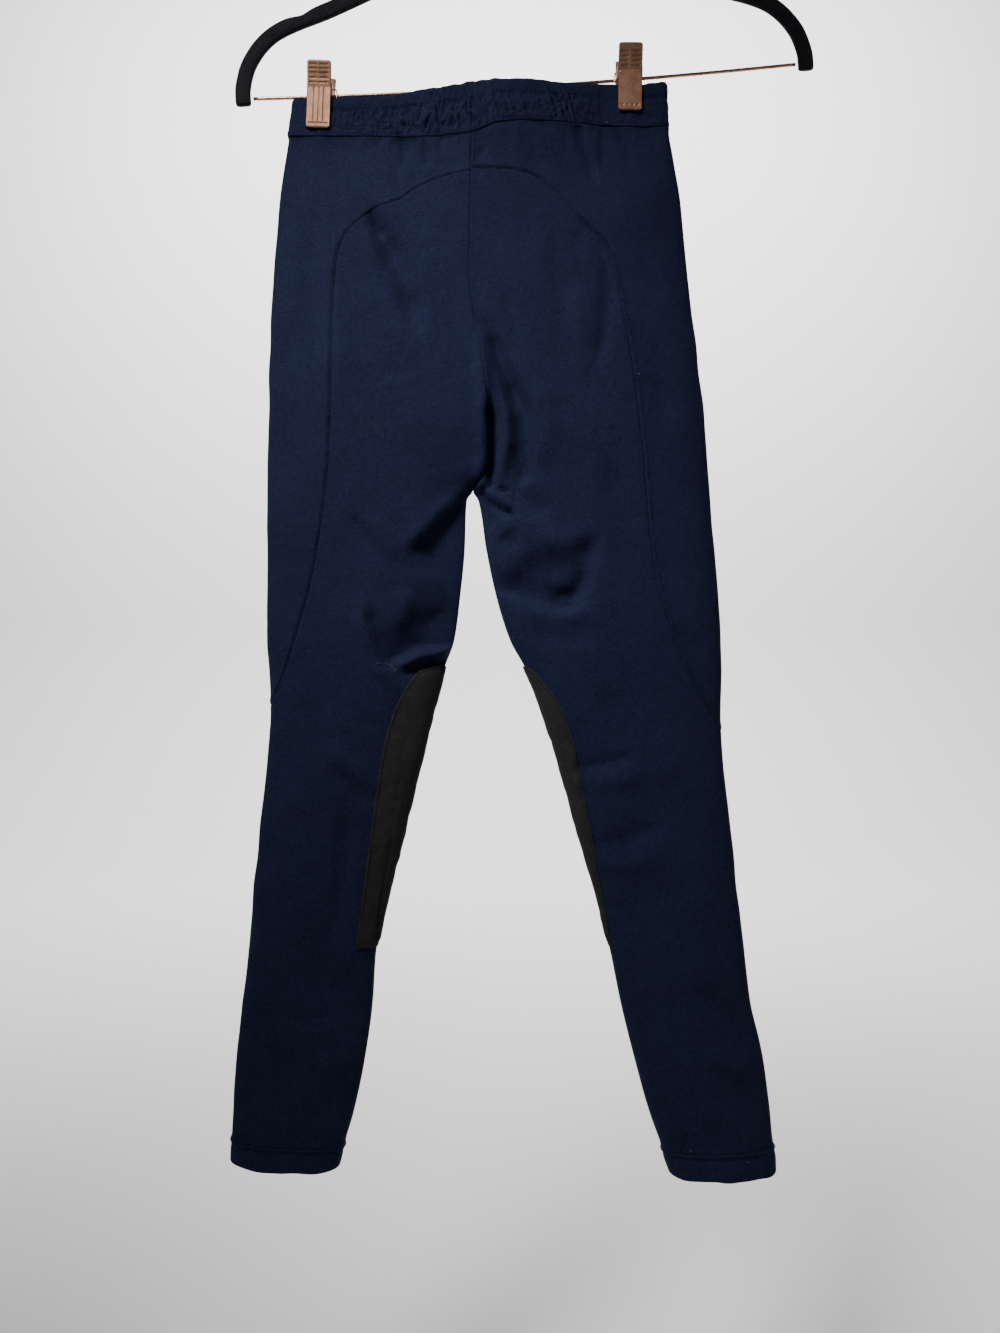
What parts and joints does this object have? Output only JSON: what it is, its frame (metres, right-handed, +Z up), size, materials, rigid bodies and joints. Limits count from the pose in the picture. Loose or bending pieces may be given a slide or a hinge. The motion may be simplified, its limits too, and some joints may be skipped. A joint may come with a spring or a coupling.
{
  "type": "riding breeches on a clip hanger",
  "caption": "Child's pull-on riding breeches in brushed navy knit with suede knee patches, hung by the elastic waist from a flocked hanger's two metal clips.",
  "frame": {"origin": "seat of the hook, where a rail carries it, on the mid-plane of hanger and garment", "axes": "+Z up, +X to the right of someone who looks at the back of the garment, which faces -Y"},
  "size_m": [0.4492, 0.0422, 1.0298],
  "materials": {
    "navy_knit": "dark navy knit with a brushed, slightly fuzzy face",
    "suede": "dark grey-brown napped suede",
    "flock": "black flocking",
    "rose_gold": "satin rose-gold plating"
  },
  "bodies": {
    "root": {"front_left": "navy_knit", "front_right": "navy_knit", "seat_left": "navy_knit", "back_knee_left": "navy_knit", "back_calf_left": "navy_knit", "seat_right": "navy_knit", "back_knee_right": "navy_knit", "back_calf_right": "navy_knit", "waistband_left": "navy_knit", "waistband_right": "navy_knit", "knee_patch_left": "suede", "knee_patch_right": "suede", "hem_left": "navy_knit", "hem_right": "navy_knit", "hanger_frame": "flock", "hanger_hook": "rose_gold", "hanger_bar": "rose_gold", "clip_left_near": "rose_gold", "clip_left_far": "rose_gold", "clip_left_spring": "rose_gold", "clip_right_near": "rose_gold", "clip_right_far": "rose_gold", "clip_right_spring": "rose_gold"}
  },
  "joints": []
}
